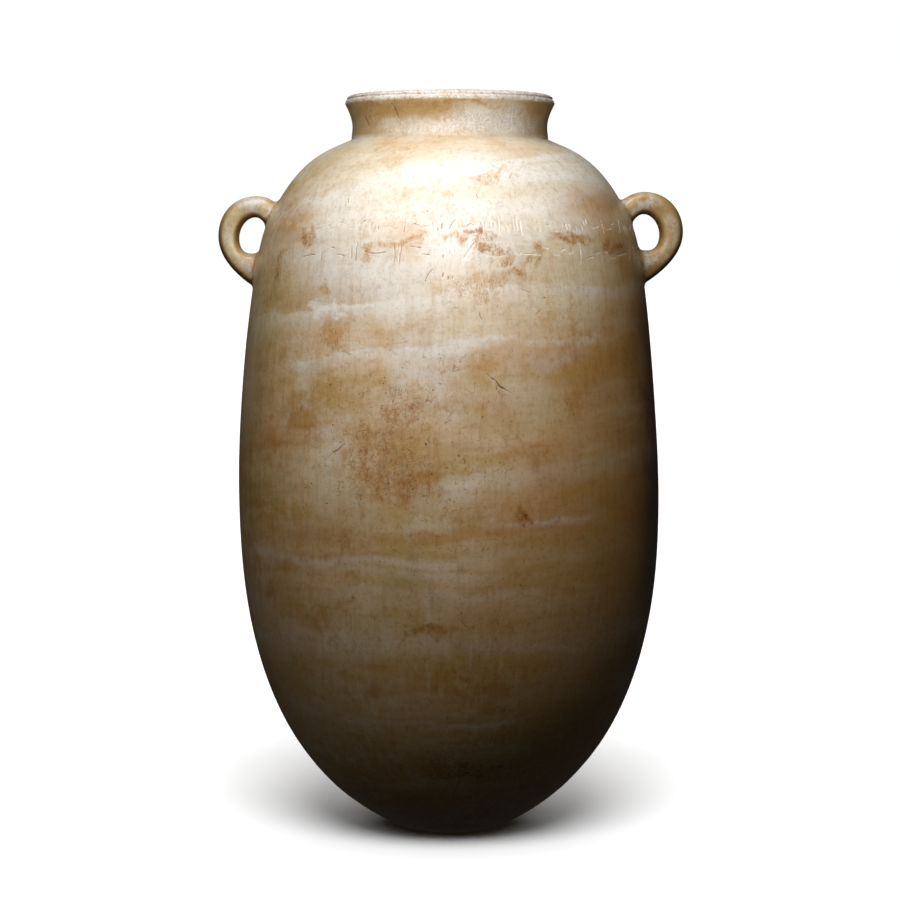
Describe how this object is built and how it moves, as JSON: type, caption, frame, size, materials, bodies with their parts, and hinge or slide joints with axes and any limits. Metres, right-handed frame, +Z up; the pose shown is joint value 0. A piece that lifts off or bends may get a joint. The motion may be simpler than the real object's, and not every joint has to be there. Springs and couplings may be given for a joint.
{
  "type": "alabastron",
  "caption": "Tall hollow stone jar with a swelling body, rounded foot, short waisted neck, grooved rim, open mouth and pierced loop handles at the shoulder.",
  "frame": {"origin": "middle of the small worked flat that the jar stands on, on the axis of its body", "axes": "+Z up along the axis of the body; the loop handles lie on +X and -X; the inscribed front faces -Y"},
  "size_m": [0.3776, 0.3438, 0.6],
  "materials": {
    "travertine": "polished"
  },
  "bodies": {
    "root": {"vessel": "travertine"}
  },
  "joints": []
}
